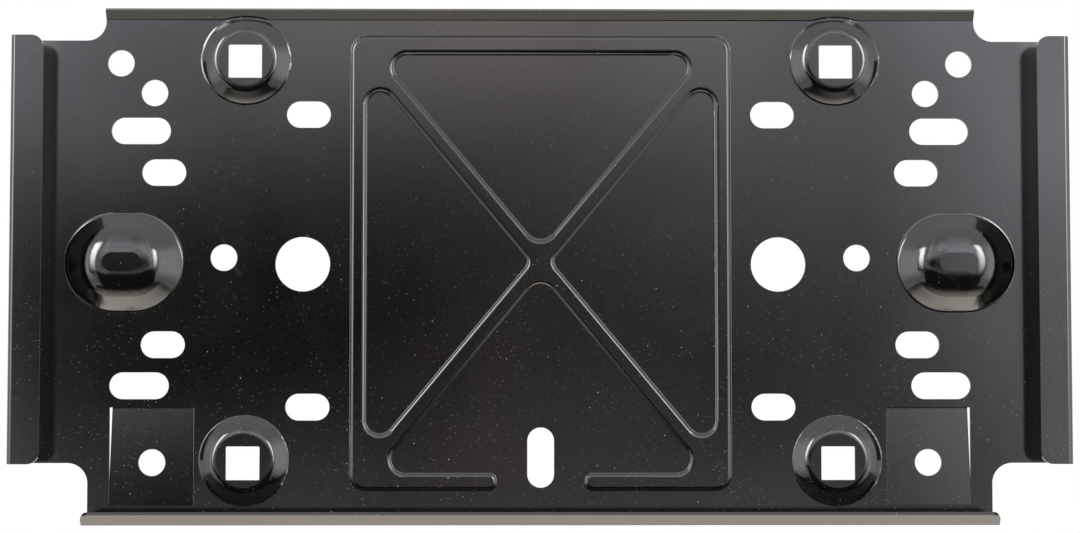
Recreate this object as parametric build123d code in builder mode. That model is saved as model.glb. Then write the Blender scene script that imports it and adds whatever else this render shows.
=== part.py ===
import os
from math import atan2, cos, hypot, radians, sin, tan

from build123d import *

# One holder for a car number plate, pressed and folded from one steel sheet.
# Millimetres. X runs across the holder, Z is up, the front faces -Y.
# Y = 0 is the rear face of the flat panel, the origin is the middle of the four plate holes.

sheet = 1.2                  # thickness of the steel sheet
inside_bend = 0.3            # inside radius of the sharp folds
outside_bend = inside_bend + sheet

# bolt pattern of the plate, from which the holder is set out
plate_across = 177.8
plate_up = 120.65
plate_column = plate_across / 2
plate_row = plate_up / 2

# square holes for the plastic nuts of the plate's bolts, each on a raised boss
nut_square = 10.0
nut_square_round = 0.4
boss_half = 13.4             # foot of the boss's slope
boss_rise = 2.9
boss_slope = 34.0
boss_lift = 0.7              # a boss stands this much higher than its square hole
boss_crown_round = 3.4
boss_foot_round = 1.0

# outline of the holder seen from the front
wing_out = 68.6              # outside face of a side channel, outwards from the plate holes
top_clear = 2.2              # top edge, above the upper bosses
foot_under = 18.1            # foot edge, below the lower plate holes
top_inset = 26.3             # notches in the upper corners
top_notch = 9.7
top_notch_round = 5.7
foot_inset = 21.9            # notches in the lower corners
foot_notch = 18.1
foot_notch_round = 6.0
wing_half = plate_column + wing_out
top_edge = plate_row + boss_lift + boss_half + top_clear
foot_edge = -plate_row - foot_under
top_half = wing_half - top_inset
wing_top = top_edge - top_notch
foot_half = wing_half - foot_inset
wing_foot = foot_edge + foot_notch

# top edge, a narrow lip that leans to the front and stiffens it
top_lip = 3.6                # length of the lip from its corner
top_lean = 36.0
top_bend = 1.4               # inside radius of its fold

# side channels that the plate slides into from above
lip_front = 11.8             # front face of the lip, measured from the panel's front face
lip_wide = 9.7               # free edge of the lip, measured from the wall's outside face
lip_round = 3.6              # rounded free corners of the lip
lip_plane = sheet + lip_front
lip_edge = wing_half - lip_wide

# foot channel that the plate stands on, its lip leaning outwards
foot_wall = 11.0             # corner of wall and lip, measured from the panel's rear face
foot_lip = 4.6               # length of the lip from that corner
foot_lean = 45.0
foot_lip_round = 2.5

# plain oval bosses, domed, that keep the plate off the panel
oval_in = 32.4               # middle of the oval, inwards from the side channel
oval_up = -0.3
oval_wide = 35.0
oval_tall = 29.2
oval_rise = 6.1
oval_slope = 39.0
oval_crown_round = 12.0
oval_foot_round = 1.8
oval_across = wing_half - oval_in

# raised bead, a frame crossed corner to corner, measured halfway up its slope
frame_in = 32.05             # side of the frame, inwards from the plate holes
frame_over = 7.8             # top of the frame, above the upper plate holes
frame_round = 4.4
bead_side = 3.95             # width of the frame's upright runs
bead_top = 4.8
bead_foot = 4.35
bead_cross = 4.15            # width of the crossing runs
bead_rise = 1.0
bead_slope = 45.0
bead_round = 1.0
field_round = 4.6            # acute corners of the four flat fields inside the bead
flat_tip_round = 5.3         # blunt tips of the upper and lower field
side_tip_round = 3.0         # blunt tips of the fields beside them
bead_gap = 13.6              # the foot run stops this far either side of the middle
bead_end_round = 1.9
frame_half = plate_column - frame_in
frame_up = plate_row + frame_over

# round holes and slots for fixing the holder to a car, alike on the left and the right
small_hole = 8.0
big_hole = 16.4
slot_tall = 8.0
short_slot = 13.2
long_slot = 17.8
corner_in = 30.9             # inwards from the side channel
corner_down = 0.3            # down from the upper plate holes
shoulder_in = 41.1
shoulder_down = 9.3
long_slot_in = 37.1
long_slot_down = 20.8
long_slot_up = 23.1          # up from the lower plate holes
side_slot_in = 44.1
side_slot_down = 33.4
side_slot_up = 35.4
waist_in = 62.25
waist_up = 1.25              # up from the holder's middle
wide_out = 14.7              # outwards from the bead's frame
wide_up = -0.7
inner_slot_out = 13.1
inner_slot_down = 15.8
inner_slot_up = 16.7
foot_slot_over = 19.7        # up from the foot edge
foot_slot_length = 18.0
corner_hole = (wing_half - corner_in, plate_row - corner_down)
shoulder_hole = (wing_half - shoulder_in, plate_row - shoulder_down)
waist_hole = (wing_half - waist_in, waist_up)
wide_hole = (frame_half + wide_out, wide_up)
upper_long_slot = (wing_half - long_slot_in, plate_row - long_slot_down)
lower_long_slot = (wing_half - long_slot_in, long_slot_up - plate_row)
upper_side_slot = (wing_half - side_slot_in, plate_row - side_slot_down)
lower_side_slot = (wing_half - side_slot_in, side_slot_up - plate_row)
upper_inner_slot = (frame_half + inner_slot_out, plate_row - inner_slot_down)
lower_inner_slot = (frame_half + inner_slot_out, inner_slot_up - plate_row)
foot_slot_up = foot_edge + foot_slot_over

# lanced tabs in the lower corners, pushed a little to the rear
tab_in = 41.0                # middle of the tab, inwards from the side channel
tab_wide = 25.2              # width between the panel's cut edges
tab_over = 5.4               # where the side cuts end, up from the foot edge
tab_tall = 29.3              # from there to the panel's cut edge above the tab
tab_lean = 3.8
tab_bend = 6.0               # inside radius at the root of the tab
tab_cut = 0.1                # width of the cut above the tab
tab_root_cut = 0.2           # width of the side cuts at the root of the tab
tab_end_cut = 0.5            # width of the side cuts at its free end
tab_hole_over = 12.8         # middle of the tab's hole, up from the end of the side cuts
tab_across = wing_half - tab_in
tab_half = tab_wide / 2
root_half = tab_half - tab_root_cut
end_half = tab_half - tab_end_cut
tab_root = foot_edge + tab_over
tab_top = tab_root + tab_tall
tab_hole_up = tab_root + tab_hole_over

through = 20.0               # longer than any hole has to go
near = 0.05                  # slack when an edge is looked up by its place

front = Plane.XZ.offset(sheet)
rear = Plane.XZ

# the crossing runs go from corner to corner of the frame
cross_grade = frame_up / frame_half
cross_angle = atan2(frame_up, frame_half)
cross_up = bead_cross / 2 / cos(cross_angle)
cross_over = bead_cross / 2 / sin(cross_angle)
field_top = frame_up - bead_top
field_foot = bead_foot - frame_up
field_side = frame_half - bead_side
bead_half_run = bead_rise / tan(radians(bead_slope)) / 2

# the hollow behind a relief starts this much inside the foot of its slope
boss_step = sheet * tan(radians(boss_slope) / 2)
oval_step = sheet * tan(radians(oval_slope) / 2)
bead_step = sheet * tan(radians(bead_slope) / 2)


# outline of the bead, grown to either side from halfway up its slope
def bead_area(plane, grow):
    tip_up = cross_up + grow / cos(cross_angle)
    tip_over = cross_over + grow / sin(cross_angle)
    high = field_top - grow
    low = field_foot + grow
    side = field_side - grow
    high_half = (high - tip_up) / cross_grade
    low_half = (-low - tip_up) / cross_grade
    side_up = (side - tip_over) * cross_grade
    acute = field_round - grow
    flat_rounds = (flat_tip_round - grow, acute, acute)
    side_rounds = (side_tip_round - grow, acute, acute)
    gap = bead_gap - grow
    foot_width = low + frame_up + grow
    with BuildSketch(plane) as area:
        RectangleRounded(2 * (frame_half + grow), 2 * (frame_up + grow), frame_round + grow)
        with BuildLine() as upper_field:
            upper_corners = ((0, tip_up), (high_half, high), (-high_half, high))
            FilletPolyline(*upper_corners, radius=flat_rounds, close=True)
        make_face(mode=Mode.SUBTRACT)
        with BuildLine() as lower_field:
            lower_corners = ((0, -tip_up), (-low_half, low), (low_half, low))
            FilletPolyline(*lower_corners, radius=flat_rounds, close=True)
        make_face(mode=Mode.SUBTRACT)
        with BuildLine() as right_field:
            right_corners = ((tip_over, 0), (side, -side_up), (side, side_up))
            FilletPolyline(*right_corners, radius=side_rounds, close=True)
        make_face(mode=Mode.SUBTRACT)
        with BuildLine() as left_field:
            left_corners = ((-tip_over, 0), (-side, side_up), (-side, -side_up))
            FilletPolyline(*left_corners, radius=side_rounds, close=True)
        make_face(mode=Mode.SUBTRACT)
        with Locations((0, low - foot_width / 2)):
            Rectangle(2 * gap, foot_width, mode=Mode.SUBTRACT)
        bead_ends = area.vertices().filter_by(lambda v: abs(abs(v.X) - gap) < near)
        fillet(bead_ends, radius=bead_end_round + grow)
    return area.sketch


# true for an edge that lies in the flat of the sheet at this depth
def lies_at(edge, depth):
    return abs((edge @ 0).Y - depth) < near and abs((edge @ 0.5).Y - depth) < near


def boss_edge(edge, reach):
    middle = edge @ 0.5
    across = abs(middle.X) - plate_column
    upward = abs(middle.Z - boss_lift) - plate_row
    return abs(hypot(across, upward) - reach) < near


def oval_edge(edge):
    middle = edge @ 0.5
    across = abs(abs(middle.X) - oval_across)
    upward = abs(middle.Z - oval_up)
    return across < oval_wide / 2 + near and upward < oval_tall / 2 + near


def bead_edge(edge):
    middle = edge @ 0.5
    reach = bead_half_run + near
    return abs(middle.X) < frame_half + reach and abs(middle.Z) < frame_up + reach


# edges round the flat faces that look to the front or the rear at this depth
def flat_edges(part, depth):
    flats = part.faces().filter_by(Plane.XZ)
    return flats.filter_by(lambda f: abs(f.center().Y - depth) < near).edges()


with BuildPart() as holder:
    # panel with the lip of its top edge
    with BuildSketch(Plane.YZ) as top_section:
        with BuildLine() as top_line:
            top_lip_out = top_lip * sin(radians(top_lean))
            top_lip_up = top_lip * cos(radians(top_lean))
            FilletPolyline(
                (0, 0),
                (0, top_edge - top_lip_up),
                (-top_lip_out, top_edge),
                radius=top_bend + sheet,
            )
            offset(amount=sheet, side=Side.LEFT)
        make_face()
    extrude(amount=top_half, both=True)

    # panel with the foot channel
    with BuildSketch(Plane.YZ) as foot_section:
        with BuildLine() as foot_line:
            foot_lip_out = foot_lip * cos(radians(foot_lean))
            foot_lip_up = foot_lip * sin(radians(foot_lean))
            FilletPolyline(
                (0, 0),
                (0, foot_edge),
                (-foot_wall, foot_edge),
                (-foot_wall - foot_lip_out, foot_edge + foot_lip_up),
                radius=outside_bend,
            )
            offset(amount=sheet, side=Side.RIGHT)
        make_face()
    extrude(amount=foot_half, both=True)

    # panel with the side channels
    with BuildSketch(Plane.XY.offset(wing_foot)) as side_section:
        with BuildLine() as side_line:
            FilletPolyline(
                (-lip_edge, -lip_plane),
                (-wing_half, -lip_plane),
                (-wing_half, 0),
                (wing_half, 0),
                (wing_half, -lip_plane),
                (lip_edge, -lip_plane),
                radius=outside_bend,
            )
            offset(amount=sheet, side=Side.RIGHT)
        make_face()
    extrude(amount=wing_top - wing_foot)

    # rounded notches, rounded free corners of the lips
    cut_edges = holder.edges().filter_by(Axis.Y)
    top_notches = cut_edges.filter_by(
        lambda e: abs(abs(e.center().X) - top_half) < near and abs(e.center().Z - wing_top) < near
    )
    fillet(top_notches, radius=top_notch_round)
    cut_edges = holder.edges().filter_by(Axis.Y)
    foot_notches = cut_edges.filter_by(
        lambda e: abs(abs(e.center().X) - foot_half) < near and abs(e.center().Z - wing_foot) < near
    )
    fillet(foot_notches, radius=foot_notch_round)
    cut_edges = holder.edges().filter_by(Axis.Y)
    lip_corners = cut_edges.filter_by(lambda e: abs(abs(e.center().X) - lip_edge) < near)
    fillet(lip_corners, radius=lip_round)
    end_edges = holder.edges().filter_by(lambda e: abs(abs(e.center().X) - foot_half) < near)
    lip_ends = end_edges.filter_by(lambda e: e.center().Y < -foot_wall)
    foot_lip_corners = lip_ends.filter_by(lambda e: abs(e.length - sheet) < near)
    fillet(foot_lip_corners, radius=foot_lip_round)

    # four round bosses, hollow behind so that the sheet keeps its thickness
    with BuildSketch(front) as boss_front:
        with Locations((0, boss_lift)):
            with GridLocations(plate_across, plate_up, 2, 2):
                Circle(boss_half)
    extrude(amount=boss_rise, taper=90 - boss_slope)
    with BuildSketch(rear) as boss_rear:
        with Locations((0, boss_lift)):
            with GridLocations(plate_across, plate_up, 2, 2):
                Circle(boss_half - boss_step)
    extrude(amount=boss_rise, taper=90 - boss_slope, mode=Mode.SUBTRACT)
    fillet(flat_edges(holder, -sheet - boss_rise), radius=boss_crown_round)
    fillet(flat_edges(holder, -boss_rise), radius=boss_crown_round - sheet)
    boss_feet = holder.edges().filter_by(lambda e: lies_at(e, -sheet) and boss_edge(e, boss_half))
    fillet(boss_feet, radius=boss_foot_round)
    boss_rims = holder.edges().filter_by(lambda e: lies_at(e, 0) and boss_edge(e, boss_half - boss_step))
    fillet(boss_rims, radius=boss_foot_round + sheet)

    # two oval bosses, hollow in the same way
    with BuildSketch(front) as oval_front:
        with Locations((oval_across, oval_up), (-oval_across, oval_up)):
            SlotOverall(oval_wide, oval_tall)
    extrude(amount=oval_rise, taper=90 - oval_slope)
    with BuildSketch(rear) as oval_rear:
        with Locations((oval_across, oval_up), (-oval_across, oval_up)):
            SlotOverall(oval_wide - 2 * oval_step, oval_tall - 2 * oval_step)
    extrude(amount=oval_rise, taper=90 - oval_slope, mode=Mode.SUBTRACT)
    fillet(flat_edges(holder, -sheet - oval_rise), radius=oval_crown_round)
    fillet(flat_edges(holder, -oval_rise), radius=oval_crown_round - sheet)
    oval_feet = holder.edges().filter_by(lambda e: lies_at(e, -sheet) and oval_edge(e))
    fillet(oval_feet, radius=oval_foot_round)
    oval_rims = holder.edges().filter_by(lambda e: lies_at(e, 0) and oval_edge(e))
    fillet(oval_rims, radius=oval_foot_round + sheet)

    # crossed bead, hollow behind
    extrude(bead_area(front, bead_half_run), amount=bead_rise, taper=90 - bead_slope)
    bead_hollow = bead_area(rear, bead_half_run - bead_step)
    extrude(bead_hollow, amount=bead_rise, taper=90 - bead_slope, mode=Mode.SUBTRACT)
    fillet(flat_edges(holder, -sheet - bead_rise), radius=bead_round)
    bead_feet = holder.edges().filter_by(lambda e: lies_at(e, -sheet) and bead_edge(e))
    fillet(bead_feet, radius=bead_round)
    bead_rims = holder.edges().filter_by(lambda e: lies_at(e, 0) and bead_edge(e))
    fillet(bead_rims, radius=bead_round + sheet)

    # square plate holes
    with BuildSketch(rear) as plate_holes:
        with GridLocations(plate_across, plate_up, 2, 2):
            RectangleRounded(nut_square, nut_square, nut_square_round)
    extrude(amount=through, both=True, mode=Mode.SUBTRACT)

    # windows round the lanced tabs
    with BuildSketch(rear) as tab_windows:
        with Locations((tab_across, (tab_top + tab_root) / 2), (-tab_across, (tab_top + tab_root) / 2)):
            Rectangle(tab_wide, tab_top - tab_root)
    extrude(amount=sheet, mode=Mode.SUBTRACT)

    # the tabs, bent to the rear at their roots
    with BuildSketch(Plane.YZ.offset(tab_across), Plane.YZ.offset(-tab_across)) as tab_section:
        with BuildLine() as tab_line:
            tab_corner = tab_root + tab_bend * tan(radians(tab_lean) / 2)
            tab_end = tab_top - tab_corner + sheet
            FilletPolyline(
                (0, tab_root - outside_bend),
                (0, tab_corner),
                (tab_end * tan(radians(tab_lean)), tab_corner + tab_end),
                radius=tab_bend,
            )
            offset(amount=sheet, side=Side.LEFT)
        make_face()
        with Locations((0, tab_top - tab_cut)):
            Rectangle(through, 2 * sheet, align=(Align.CENTER, Align.MIN), mode=Mode.SUBTRACT)
    extrude(amount=root_half, both=True)

    # the side cuts open towards the free ends of the tabs
    with BuildSketch(rear) as side_cuts:
        right_cut = ((root_half, 0), (tab_half, 0), (tab_half, tab_tall), (end_half, tab_tall))
        left_cut = ((-root_half, 0), (-end_half, tab_tall), (-tab_half, tab_tall), (-tab_half, 0))
        with Locations((tab_across, tab_root), (-tab_across, tab_root)):
            Polygon(*right_cut, align=None)
            Polygon(*left_cut, align=None)
    extrude(amount=through, both=True, mode=Mode.SUBTRACT)

    # round holes and slots for the bolts that fix the holder
    with BuildSketch(rear) as fixing_holes:
        with Locations(corner_hole, shoulder_hole, waist_hole, (tab_across, tab_hole_up)):
            Circle(small_hole / 2)
        with Locations(wide_hole):
            Circle(big_hole / 2)
        with Locations(upper_long_slot, lower_long_slot):
            SlotOverall(long_slot, slot_tall)
        with Locations(upper_side_slot, lower_side_slot, upper_inner_slot, lower_inner_slot):
            SlotOverall(short_slot, slot_tall)
        mirror(about=Plane.YZ)
        with Locations((0, foot_slot_up)):
            SlotOverall(foot_slot_length, slot_tall, rotation=90)
    extrude(amount=through / 2, both=True, mode=Mode.SUBTRACT)

holder.part.label = "plate_holder"

os.makedirs("parts", exist_ok=True)
export_step(holder.part, "parts/plate_holder.step")
print("volume", round(holder.part.volume, 1), "valid", holder.part.is_valid)
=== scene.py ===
import math

import bmesh
import bpy
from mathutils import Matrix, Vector


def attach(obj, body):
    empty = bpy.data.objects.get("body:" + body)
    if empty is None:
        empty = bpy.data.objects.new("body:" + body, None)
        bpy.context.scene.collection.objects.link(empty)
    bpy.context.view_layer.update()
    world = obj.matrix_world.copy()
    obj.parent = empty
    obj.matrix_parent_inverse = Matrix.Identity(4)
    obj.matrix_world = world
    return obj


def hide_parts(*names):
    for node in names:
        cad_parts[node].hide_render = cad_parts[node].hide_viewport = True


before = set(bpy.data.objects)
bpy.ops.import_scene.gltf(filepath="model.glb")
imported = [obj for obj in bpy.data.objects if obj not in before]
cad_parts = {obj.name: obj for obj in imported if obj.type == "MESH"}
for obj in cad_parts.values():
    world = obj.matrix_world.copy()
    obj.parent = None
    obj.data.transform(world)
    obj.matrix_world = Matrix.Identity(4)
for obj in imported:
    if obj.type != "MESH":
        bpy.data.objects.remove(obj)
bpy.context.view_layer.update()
scene = bpy.context.scene
scene.view_settings.view_transform = "Standard"
mm = 0.001


def addNode(tree, kind, **settings):
    node = tree.nodes.new(kind)
    for name, value in settings.items():
        setattr(node, name, value)
    return node


def setInputs(node, **values):
    for name, value in values.items():
        node.inputs[name].default_value = value
    return node


def mathNode(tree, operation, first, second=0.0, clamp=False):
    node = addNode(tree, "ShaderNodeMath", operation=operation, use_clamp=clamp)
    for socket, value in zip(node.inputs, (first, second)):
        if isinstance(value, (int, float)):
            socket.default_value = value
        else:
            tree.links.new(value, socket)
    return node.outputs[0]


def combine(tree, operation, parts):
    total = parts[0]
    for part in parts[1:]:
        total = mathNode(tree, operation, total, part)
    return total


# a ramp is given as two places and the values there
def smoothStep(tree, value, start, end, low=0.0, high=1.0):
    node = addNode(tree, "ShaderNodeMapRange", interpolation_type="SMOOTHSTEP")
    tree.links.new(value, node.inputs["Value"])
    for name, number in (("From Min", start), ("From Max", end), ("To Min", low), ("To Max", high)):
        node.inputs[name].default_value = number
    return node.outputs["Result"]


def mixColour(tree, share, first, second):
    node = addNode(tree, "ShaderNodeMix", data_type="RGBA")
    tree.links.new(share, node.inputs["Factor"])
    for name, value in (("A", first), ("B", second)):
        if isinstance(value, tuple):
            node.inputs[name].default_value = value
        else:
            tree.links.new(value, node.inputs[name])
    return node.outputs["Result"]


def objectPoint(tree):
    return addNode(tree, "ShaderNodeTexCoord").outputs["Object"]


def objectAxes(tree):
    node = addNode(tree, "ShaderNodeSeparateXYZ")
    tree.links.new(objectPoint(tree), node.inputs[0])
    return node.outputs


def noiseAt(tree, point, scale, detail=2.0):
    node = addNode(tree, "ShaderNodeTexNoise")
    setInputs(node, Scale=scale, Detail=detail, Roughness=0.5)
    tree.links.new(point, node.inputs["Vector"])
    return node.outputs["Fac"]


def bumpOver(tree, height, depth, under=None):
    node = addNode(tree, "ShaderNodeBump")
    setInputs(node, Strength=1.0, Distance=depth)
    tree.links.new(height, node.inputs["Height"])
    if under is not None:
        tree.links.new(under, node.inputs["Normal"])
    return node.outputs["Normal"]


def emptyMaterial(name):
    material = bpy.data.materials.new(name)
    material.use_nodes = True
    material.node_tree.nodes.clear()
    output = addNode(material.node_tree, "ShaderNodeOutputMaterial")
    return material, material.node_tree, output


# black gloss paint with old dust, places in metres and texture scales per metre
blackPaint = {
    "colour": (0.0010, 0.0010, 0.0011, 1.0),
    "ior": 1.5,
    "roughScale": 40.0,
    "roughness": (0.3, 0.7, 0.12, 0.16),
    "coatRoughness": 0.10,
    "peelScale": 420.0,  # orange peel
    "peelDepth": 0.0035 * mm,
    "waveScale": 16.0,  # slow waves of the pressed sheet
    "waveDepth": 0.10 * mm,
    "haze": (0.0044, 0.0028, 0.0025, 1.0),  # thin film of dust, in clouds
    "hazeScale": 26.0,
    "hazeClouds": (0.35, 0.75),
    "hazeAcross": (0.11, 0.05, 0.25, 1.0),  # thinner away from the middle
    "corner": (0.042, 0.042, 0.042, 1.0),  # lighter grey on the panel in the side channels, partly dust and partly a painted reflection of the lips, on the panel only
    "cornerAcross": (0.1425, 0.149),
    "cornerDepth": (-0.004, -0.002),
    "cornerUp": (-0.02, 0.05, 0.35, 1.0),
    "dust": (0.36, 0.35, 0.33, 1.0),
    "dustUp": (0.06, -0.07, 0.35, 1.0),  # thicker towards the foot
    "dustDullness": 0.5,
    "speckScale": 400.0,
    "speckSize": 0.075,  # share of a cell
    "speckLeast": 0.55,  # share of the cells that stay clean
    "grainScale": 1250.0,
    "grainSize": 0.21,
    "grainLeast": 0.40,
    "grainPatches": 60.0,
    "grainShare": (0.35, 0.70, 0.16, 0.46),
    "scratchTurns": (0.6, 2.3),  # radians
    "scratchShare": 0.07,
    "scratchStretch": (110.0, 300.0, 2600.0),
    "scratchLines": (0.85, 0.90),
    "scratchPatches": 24.0,
    "scratchFew": (0.60, 0.68),
}


def specksAt(tree, point, scale, size, least):
    node = addNode(tree, "ShaderNodeTexVoronoi", feature="F1")
    setInputs(node, Scale=scale, Randomness=1.0)
    tree.links.new(point, node.inputs["Vector"])
    chance = addNode(tree, "ShaderNodeSeparateColor")
    tree.links.new(node.outputs["Color"], chance.inputs["Color"])
    bright = smoothStep(tree, chance.outputs["Red"], least, 1.0)  # each speck has its own strength
    spot = smoothStep(tree, node.outputs["Distance"], size * 0.55, size, 1.0, 0.0)
    return mathNode(tree, "MULTIPLY", spot, bright)


def scratchesAt(tree, point, turn):
    paint = blackPaint
    turned = addNode(tree, "ShaderNodeVectorRotate", rotation_type="Y_AXIS")
    turned.inputs["Angle"].default_value = turn
    tree.links.new(point, turned.inputs["Vector"])
    drawn = addNode(tree, "ShaderNodeVectorMath", operation="MULTIPLY")
    drawn.inputs[1].default_value = paint["scratchStretch"]
    tree.links.new(turned.outputs["Vector"], drawn.inputs[0])
    lines = noiseAt(tree, drawn.outputs["Vector"], 1.0, detail=0.0)
    lines = smoothStep(tree, lines, *paint["scratchLines"])
    patches = noiseAt(tree, point, paint["scratchPatches"] + turn, detail=0.0)
    return mathNode(tree, "MULTIPLY", lines, smoothStep(tree, patches, *paint["scratchFew"]))


def dustMarks(tree, point, low):
    paint = blackPaint
    specks = specksAt(tree, point, paint["speckScale"], paint["speckSize"], paint["speckLeast"])
    grain = specksAt(tree, point, paint["grainScale"], paint["grainSize"], paint["grainLeast"])
    faint = smoothStep(tree, noiseAt(tree, point, paint["grainPatches"]), *paint["grainShare"])
    marks = mathNode(tree, "MAXIMUM", specks, mathNode(tree, "MULTIPLY", grain, faint))
    marks = mathNode(tree, "MULTIPLY", marks, low)
    for turn in paint["scratchTurns"]:
        scratches = mathNode(tree, "MULTIPLY", scratchesAt(tree, point, turn), paint["scratchShare"])
        marks = mathNode(tree, "MAXIMUM", marks, scratches)
    return marks


def paintMaterial():
    paint = blackPaint
    material, tree, output = emptyMaterial("black_paint_on_steel")
    shader = addNode(tree, "ShaderNodeBsdfPrincipled")
    tree.links.new(shader.outputs["BSDF"], output.inputs["Surface"])
    shader.inputs["IOR"].default_value = paint["ior"]
    shader.inputs["Coat Weight"].default_value = 1.0
    shader.inputs["Coat Roughness"].default_value = paint["coatRoughness"]
    point = objectPoint(tree)
    axes = objectAxes(tree)
    away = mathNode(tree, "ABSOLUTE", axes["X"])
    low = smoothStep(tree, axes["Z"], *paint["dustUp"])
    clouds = smoothStep(tree, noiseAt(tree, point, paint["hazeScale"], detail=3.0), *paint["hazeClouds"])
    film = combine(tree, "MULTIPLY", (clouds, low, smoothStep(tree, away, *paint["hazeAcross"])))
    # painted reflection of the lips, with some dust: lighter grey on the panel inside the side channels,
    # lighter towards the top
    aside = smoothStep(tree, away, *paint["cornerAcross"])
    deep = smoothStep(tree, axes["Y"], *paint["cornerDepth"])
    channelDustAndReflection = combine(tree, "MULTIPLY", (aside, deep, smoothStep(tree, axes["Z"], *paint["cornerUp"])))
    marks = dustMarks(tree, point, low)
    colour = mixColour(tree, film, paint["colour"], paint["haze"])
    colour = mixColour(tree, channelDustAndReflection, colour, paint["corner"])
    colour = mixColour(tree, marks, colour, paint["dust"])
    tree.links.new(colour, shader.inputs["Base Color"])
    even = smoothStep(tree, noiseAt(tree, point, paint["roughScale"]), *paint["roughness"])
    dull = mathNode(tree, "MULTIPLY", marks, paint["dustDullness"])
    tree.links.new(mathNode(tree, "ADD", even, dull, clamp=True), shader.inputs["Roughness"])
    waves = bumpOver(tree, noiseAt(tree, point, paint["waveScale"], detail=1.0), paint["waveDepth"])
    peel = bumpOver(tree, noiseAt(tree, point, paint["peelScale"], detail=1.0), paint["peelDepth"], waves)
    tree.links.new(peel, shader.inputs["Normal"])
    tree.links.new(peel, shader.inputs["Coat Normal"])
    return material


# how the paint shades the pressed rounds: slope in the CAD, slope as shaded, share of a round that turns
pressedRounds = {
    "foldUp": 72.5 * mm,  # the fold of the top lip lies above this
    "foldStraight": 0.03,
    "fold": (36.0, 36.0, 0.40, 0.60),
    "flat": 0.5,  # degrees
    "over": 0.6,
    "reliefs": (
        {  # crossed bead
            "middles": ((0.0, 0.0),),
            "half": (60.0 * mm, 70.0 * mm),
            "halfway": -1.7 * mm,
            "crown": (45.0, 27.0, 0.10, 1.0),
            "foot": (45.0, 41.5, 0.46, 0.72),
        },
        {  # round bosses
            "middles": ((88.9 * mm, 61.0 * mm), (88.9 * mm, -59.6 * mm)),
            "half": (14.2 * mm, 14.2 * mm),
            "halfway": -2.4 * mm,
            "crown": (34.0, 33.0, 0.0, 1.0),
            "foot": (34.0, 39.5, 0.20, 0.88),
        },
        {  # oval bosses
            "middles": ((125.1 * mm, -0.3 * mm),),
            "half": (18.8 * mm, 15.8 * mm),
            "halfway": -2.6 * mm,
            "crown": (39.0, 38.5, 0.0, 1.0),
            "foot": (39.0, 40.5, 0.22, 0.88),
        },
    ),
}


def roundAt(point, normal):
    rounds = pressedRounds
    if point.z > rounds["foldUp"] and normal.z < 0.0 and abs(normal.x) < rounds["foldStraight"]:
        return rounds["fold"]
    for relief in rounds["reliefs"]:
        wide, tall = relief["half"]
        for across, up in relief["middles"]:
            if abs(abs(point.x) - across) < wide and abs(point.z - up) < tall:
                return relief["crown"] if point.y < relief["halfway"] else relief["foot"]
    return None


def crispNormal(point, normal):
    rounds = pressedRounds
    beside = math.hypot(normal.x, normal.z)
    slope = math.degrees(math.atan2(beside, -normal.y))
    turn = roundAt(point, normal)
    if turn is None or slope < rounds["flat"] or slope > turn[0] + rounds["over"]:
        return normal
    full, shaded, start, end = turn
    turned = math.radians(shaded * min(max((slope / full - start) / (end - start), 0.0), 1.0))
    share = math.sin(turned) / beside
    return Vector((normal.x * share, -math.cos(turned), normal.z * share))


# paint that closes the narrow cuts round the tabs
tabPaint = {
    "across": 116.5 * mm,
    "root": -73.025 * mm,
    "tall": 29.3 * mm,
    "side": (11.8 * mm, 12.5 * mm),  # where a tab's side edges lie from its middle
    "below": -0.005,  # shares of a tab's height
    "top": 0.97,
    "out": 0.335 * mm,  # outer side, at the root
    "into": 0.20 * mm,
    "up": 0.25 * mm,
}


def closeCuts(bm):
    sizes = tabPaint
    near, far = sizes["side"]
    for vert in bm.verts:
        side = math.copysign(1.0, vert.co.x)
        across = abs(vert.co.x) - sizes["across"]
        share = (vert.co.z - sizes["root"]) / sizes["tall"]
        if abs(across) > far or share < sizes["below"] or share > 1.0:
            continue
        if across > near:
            vert.co.x += side * sizes["out"] * (1.0 - share)
        elif across < -near:
            vert.co.x -= side * sizes["into"]
        if share > sizes["top"]:
            vert.co.z += sizes["up"]


# the holder: the CAD sheet with its cut edges softened by the paint
paintedHolder = {
    "weld": 0.002 * mm,
    "edgeBreak": 0.07 * mm,
    "edgeSegments": 2,
    "cutAngle": 55.0,  # degrees, edges sharper than this were cut or punched
    "sharpAngle": 62.0,
}


def cornerNormals(bm, smooth, broken, within):
    normals = []
    for face in bm.faces:
        for corner in face.loops:
            around = corner.vert.link_loops
            if face not in broken:
                around = [corner]
            elif any(loop.face not in broken for loop in around):
                around = [loop for loop in around if loop.face not in broken]
            total = Vector()
            for loop in around:
                normal = loop.face.normal if loop.face in broken else loop[smooth]
                if normal.dot(face.normal) > within:
                    total += normal * loop.calc_angle()
            normals.append((total if total.length > 0.0 else face.normal).normalized())
    return normals


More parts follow.
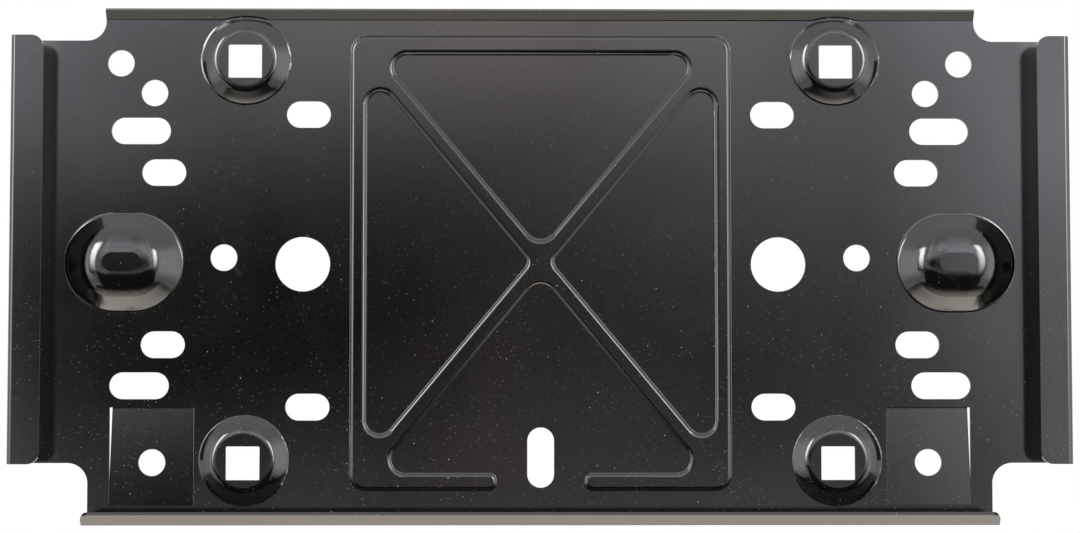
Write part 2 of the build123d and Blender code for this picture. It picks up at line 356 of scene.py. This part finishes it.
def makeHolder():
    sizes = paintedHolder
    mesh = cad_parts["plate_holder"].data.copy()
    holder = bpy.data.objects.new("painted_holder", mesh)
    scene.collection.objects.link(holder)
    bm = bmesh.new()
    bm.from_mesh(mesh)
    smooth = bm.loops.layers.float_vector.new("smooth")  # normals of the CAD surfaces
    for face, polygon in zip(bm.faces, mesh.polygons):
        for corner, index in zip(face.loops, polygon.loop_indices):
            corner[smooth] = crispNormal(corner.vert.co, mesh.corner_normals[index].vector)
    bmesh.ops.remove_doubles(bm, verts=bm.verts, dist=sizes["weld"])
    cutAngle = math.radians(sizes["cutAngle"])
    cutEdges = [e for e in bm.edges if len(e.link_faces) == 2 and e.calc_face_angle() > cutAngle]
    made = bmesh.ops.bevel(
        bm,
        geom=cutEdges,
        offset=sizes["edgeBreak"],
        offset_type="OFFSET",
        affect="EDGES",
        segments=sizes["edgeSegments"],
        profile=0.5,
        material=-1,
        clamp_overlap=False,
    )
    for face in bm.faces:
        face.smooth = True
    bm.normal_update()
    normals = cornerNormals(bm, smooth, set(made["faces"]), math.cos(math.radians(sizes["sharpAngle"])))
    bm.loops.layers.float_vector.remove(smooth)
    closeCuts(bm)
    bm.to_mesh(mesh)
    bm.free()
    if "custom_normal" in mesh.attributes:
        mesh.attributes.remove(mesh.attributes["custom_normal"])
    mesh.normals_split_custom_set(normals)
    mesh.materials.clear()
    mesh.materials.append(paintMaterial())
    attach(holder, "root")
    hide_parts("plate_holder")
    print("holder:", len(cutEdges), "cut edges softened,", len(mesh.polygons), "faces")


makeHolder()

# pale floor in a white room
studio = {
    "floorUp": -0.90,
    "floorHalf": 3.0,
    "floorColour": (0.86, 0.86, 0.86, 1.0),
    "floorGlow": 0.55,  # share of even white that is seen on the floor
    "white": (1.0, 1.0, 1.0, 1.0),
    "worldLight": 0.35,
}


def whiteShare(tree, share):
    path = addNode(tree, "ShaderNodeLightPath")
    rays = [path.outputs[name] for name in ("Is Camera Ray", "Is Glossy Ray", "Is Transmission Ray")]
    return mathNode(tree, "MULTIPLY", combine(tree, "MAXIMUM", rays), share)


def makeFloor():
    bm = bmesh.new()
    bmesh.ops.create_grid(bm, x_segments=1, y_segments=1, size=studio["floorHalf"])
    bmesh.ops.translate(bm, verts=bm.verts, vec=(0.0, 0.0, studio["floorUp"]))
    mesh = bpy.data.meshes.new("floor")
    bm.to_mesh(mesh)
    bm.free()
    floor = bpy.data.objects.new("floor", mesh)
    scene.collection.objects.link(floor)
    material, tree, output = emptyMaterial("pale_floor")
    paper = addNode(tree, "ShaderNodeBsdfDiffuse")
    paper.inputs["Color"].default_value = studio["floorColour"]
    white = addNode(tree, "ShaderNodeEmission")
    mix = addNode(tree, "ShaderNodeMixShader")
    tree.links.new(whiteShare(tree, studio["floorGlow"]), mix.inputs["Fac"])
    tree.links.new(paper.outputs["BSDF"], mix.inputs[1])
    tree.links.new(white.outputs["Emission"], mix.inputs[2])
    tree.links.new(mix.outputs["Shader"], output.inputs["Surface"])
    mesh.materials.append(material)


def makeWorld():
    world = bpy.data.worlds.new("white studio")
    scene.world = world
    world.use_nodes = True
    tree = world.node_tree
    tree.nodes.clear()
    output = addNode(tree, "ShaderNodeOutputWorld")
    light = addNode(tree, "ShaderNodeBackground")
    setInputs(light, Color=studio["white"], Strength=studio["worldLight"])
    white = addNode(tree, "ShaderNodeBackground")
    setInputs(white, Color=studio["white"], Strength=1.0)
    mix = addNode(tree, "ShaderNodeMixShader")
    tree.links.new(whiteShare(tree, 1.0), mix.inputs["Fac"])
    tree.links.new(light.outputs["Background"], mix.inputs[1])
    tree.links.new(white.outputs["Background"], mix.inputs[2])
    tree.links.new(mix.outputs["Shader"], output.inputs["Surface"])


# a card is seen only in the gloss of the paint
def makeCard(name, corners):
    bm = bmesh.new()
    bm.faces.new([bm.verts.new(corner) for corner in corners])
    mesh = bpy.data.meshes.new(name)
    bm.to_mesh(mesh)
    bm.free()
    card = bpy.data.objects.new(name, mesh)
    scene.collection.objects.link(card)
    card.visible_camera = False
    card.visible_diffuse = False
    card.visible_transmission = False
    card.visible_shadow = False
    material, tree, output = emptyMaterial(name)
    glow = addNode(tree, "ShaderNodeEmission")
    tree.links.new(glow.outputs["Emission"], output.inputs["Surface"])
    mesh.materials.append(material)
    return tree, glow.inputs


def alongAxis(tree, axis):
    node = addNode(tree, "ShaderNodeVectorMath", operation="DOT_PRODUCT")
    tree.links.new(objectPoint(tree), node.inputs[0])
    node.inputs[1].default_value = axis
    return node.outputs["Value"]


# card behind the camera, ramps and soft patches of glow
frontCard = {
    "half": 0.95,
    "away": 2.2,
    "reach": (-0.30, 2.60),
    "upward": ((0.08, 0.60, 0.0, 1.8), (0.80, 2.00, 0.0, -0.9), (0.0, -0.24, 0.01, 0.52)),
    "across": ((-0.10, 0.05, 0.0, 0.10), (-0.60, -0.625, 0.0, 0.45)),
    "right": ((0.44, 0.66, 0.0, 1.0), (0.05, 0.35, 0.0, 0.24)),
    "rightUp": ((-0.18, 0.12), (0.48, 0.22, 0.25, 1.0)),
    "rightFoot": (0.615, 0.655, 0.0, 0.80),
    "rightFootUp": (0.10, -0.08),
    "patches": (  # middle, reach and glow
        ((-0.46, 0.30), (0.30, 0.11), 0.26),
        ((-0.12, 0.28), (0.30, 0.10), -0.16),
        ((0.02, 0.16), (0.22, 0.08), 0.12),
        ((-0.30, 0.21), (0.20, 0.10), -0.14),
        ((0.0, -0.02), (0.26, 0.14), 0.11),
    ),
    "cloudScale": 4.5,
    "clouds": (0.30, 0.70, 0.75, 1.25),
    "middleColour": (1.0, 0.93, 0.90, 1.0),
    "sideColour": (0.91, 0.945, 1.0, 1.0),
    "sideAcross": (0.05, 0.45),
}


def softPatch(tree, axes, middle, reach, strength):
    across = mathNode(tree, "DIVIDE", mathNode(tree, "SUBTRACT", axes["X"], middle[0]), reach[0])
    upward = mathNode(tree, "DIVIDE", mathNode(tree, "SUBTRACT", axes["Z"], middle[1]), reach[1])
    across = mathNode(tree, "MULTIPLY", across, across)
    upward = mathNode(tree, "MULTIPLY", upward, upward)
    return smoothStep(tree, mathNode(tree, "ADD", across, upward), 1.0, 0.0, 0.0, strength)


def makeFrontCard():
    half, away = frontCard["half"], -frontCard["away"]
    low, high = frontCard["reach"]
    corners = ((-half, away, low), (half, away, low), (half, away, high), (-half, away, high))
    tree, glow = makeCard("front_card", corners)
    axes = objectAxes(tree)
    parts = [smoothStep(tree, axes["Z"], *ramp) for ramp in frontCard["upward"]]
    parts += [smoothStep(tree, axes["X"], *ramp) for ramp in frontCard["across"]]
    right = combine(tree, "ADD", [smoothStep(tree, axes["X"], *ramp) for ramp in frontCard["right"]])
    rightUp = [smoothStep(tree, axes["Z"], *ramp) for ramp in frontCard["rightUp"]]
    parts.append(combine(tree, "MULTIPLY", (right, *rightUp)))
    rightFoot = smoothStep(tree, axes["X"], *frontCard["rightFoot"])
    rightFootUp = smoothStep(tree, axes["Z"], *frontCard["rightFootUp"])
    parts.append(mathNode(tree, "MULTIPLY", rightFoot, rightFootUp))
    parts += [softPatch(tree, axes, *patch) for patch in frontCard["patches"]]
    clouds = noiseAt(tree, objectPoint(tree), frontCard["cloudScale"], detail=1.0)
    uneven = smoothStep(tree, clouds, *frontCard["clouds"])
    tree.links.new(mathNode(tree, "MULTIPLY", combine(tree, "ADD", parts), uneven), glow["Strength"])
    aside = smoothStep(tree, mathNode(tree, "ABSOLUTE", axes["X"]), *frontCard["sideAcross"])
    tint = mixColour(tree, aside, frontCard["middleColour"], frontCard["sideColour"])
    tree.links.new(tint, glow["Color"])


# cards in front of the foot: a dark apron, then a warm glow that fades to the front
footCards = {
    "up": -0.88,
    "front": -0.85,
    "apronGlow": 0.03,
    "apronHalf": (0.75, 1.4),
    "apronEnd": (-2.2, -0.31),
    "half": 1.0,
    "rear": 0.30,
    "glow": (-0.75, -0.05, 0.03, 3.1),
    "behind": (-0.12, 0.06, 1.0, 0.8),
    "aside": (0.95, 0.50, 0.35, 1.0),
    "colour": (1.0, 0.93, 0.835, 1.0),
}


def makeApron():
    near, far = footCards["apronHalf"]
    front, up = footCards["front"], footCards["up"]
    endFront, endUp = footCards["apronEnd"]
    corners = ((-near, front, up), (near, front, up), (far, endFront, endUp), (-far, endFront, endUp))
    glow = makeCard("dark_apron", corners)[1]
    glow["Strength"].default_value = footCards["apronGlow"]


def makeFootCard():
    half, up = footCards["half"], footCards["up"]
    front, rear = footCards["front"], footCards["rear"]
    corners = ((-half, front, up), (half, front, up), (half, rear, up), (-half, rear, up))
    tree, glow = makeCard("foot_card", corners)
    axes = objectAxes(tree)
    near = smoothStep(tree, axes["Y"], *footCards["glow"])
    behind = smoothStep(tree, axes["Y"], *footCards["behind"])
    aside = smoothStep(tree, mathNode(tree, "ABSOLUTE", axes["X"]), *footCards["aside"])
    tree.links.new(combine(tree, "MULTIPLY", (near, behind, aside)), glow["Strength"])
    glow["Color"].default_value = footCards["colour"]


# soft cards to the left and right, angles in degrees from the front
sideCards = {
    "away": 2.0,
    "reach": (-0.9, 1.3),
    "core": 0.4,  # share of a card that glows in full
    "placed": (("left_side_card", (-77.0, -44.0), 1.9), ("right_side_card", (36.0, 79.0), 2.0)),
}


def placeAt(turn, away, up):
    angle = math.radians(turn)
    return Vector((away * math.sin(angle), -away * math.cos(angle), up))


def makeSideCard(name, turns, strength):
    low, high = sideCards["reach"]
    core = sideCards["core"]
    ends = [placeAt(turn, sideCards["away"], 0.0) for turn in turns]
    corners = [end + Vector((0.0, 0.0, up)) for end, up in zip(ends + ends[::-1], (low, low, high, high))]
    tree, glow = makeCard(name, corners)
    along = (ends[1] - ends[0]).normalized()
    middle = along.dot(ends[0] + ends[1]) / 2
    half = (ends[1] - ends[0]).length / 2
    aside = mathNode(tree, "ABSOLUTE", mathNode(tree, "SUBTRACT", alongAxis(tree, along), middle))
    upward = objectAxes(tree)["Z"]
    edges = ((aside, half), (upward, low), (upward, high))
    share = combine(tree, "MULTIPLY", [smoothStep(tree, value, edge, edge * core) for value, edge in edges])
    more = mathNode(tree, "MULTIPLY", share, strength - 1.0)
    tree.links.new(mathNode(tree, "ADD", more, 1.0), glow["Strength"])  # white at its edge, as the room


# two lamps, each with the softbox that the paint reflects in its place
lamps = {
    "away": 1.6,
    "up": 0.20,
    "brightness": 15.0,
    "colour": (1.0, 0.99, 0.97),
    "softboxGlow": 12.5,
    "softboxFoot": -0.62,
    "softboxFull": 0.34,  # height of the full glow
    "softboxFade": 0.24,
    "softboxCore": 0.3,
    "placed": (("left_lamp", -41.0, (0.62, 0.72), 0.88), ("right_lamp", 30.0, (0.46, 0.72), 0.66)),
}


def makeSoftbox(name, place, wide, high):
    low = lamps["softboxFoot"]
    across = place.cross(Vector((0.0, 0.0, 1.0))).normalized()
    upward = across.cross(place).normalized()
    sides = ((-1, low), (1, low), (1, high), (-1, high))
    tree, glow = makeCard(name, [place + across * side * wide + upward * up for side, up in sides])
    aside = mathNode(tree, "ABSOLUTE", alongAxis(tree, across))
    up = alongAxis(tree, upward)
    core = smoothStep(tree, aside, wide, wide * lamps["softboxCore"])
    foot = smoothStep(tree, up, low, lamps["softboxFull"])
    top = smoothStep(tree, up, high, high - lamps["softboxFade"])
    share = combine(tree, "MULTIPLY", (core, foot, top, lamps["softboxGlow"]))
    tree.links.new(share, glow["Strength"])
    glow["Color"].default_value = (*lamps["colour"], 1.0)


def makeLamp(name, turn, size, softboxTop):
    place = placeAt(turn, lamps["away"], lamps["up"])
    data = bpy.data.lights.new(name, "AREA")
    data.shape = "RECTANGLE"
    data.size, data.size_y = size
    data.energy = lamps["brightness"] * math.pi * size[0] * size[1]
    data.color = lamps["colour"]
    lamp = bpy.data.objects.new(name, data)
    lamp.location = place
    lamp.rotation_mode = "QUATERNION"
    lamp.rotation_quaternion = (-place).to_track_quat("-Z", "Y")
    lamp.visible_camera = False
    lamp.visible_glossy = False  # the softbox is what the paint reflects
    scene.collection.objects.link(lamp)
    makeSoftbox(name + "_softbox", place, size[0] / 2, softboxTop)


makeFloor()
makeWorld()
makeFrontCard()
makeApron()
makeFootCard()
for lamp in lamps["placed"]:
    makeLamp(*lamp)
for card in sideCards["placed"]:
    makeSideCard(*card)
print("studio: floor, cards and lamps placed")

# camera of the photograph
photoCamera = {
    "place": (-7.0 * mm, -701.2 * mm, -38.8 * mm),
    "turn": 0.557,  # degrees to the right
    "tilt": 3.061,  # degrees up
    "lens": 77.62,
    "sensor": 36.0,
    "clip": (0.01, 50.0),
}


def makeCamera():
    data = bpy.data.cameras.new("photo_camera")
    data.sensor_fit = "HORIZONTAL"
    data.sensor_width = photoCamera["sensor"]
    data.lens = photoCamera["lens"]
    data.clip_start, data.clip_end = photoCamera["clip"]
    camera = bpy.data.objects.new("photo_camera", data)
    camera.location = photoCamera["place"]
    turns = (90.0 + photoCamera["tilt"], 0.0, -photoCamera["turn"])
    camera.rotation_euler = [math.radians(turn) for turn in turns]
    scene.collection.objects.link(camera)
    scene.camera = camera


makeCamera()
print("camera placed")
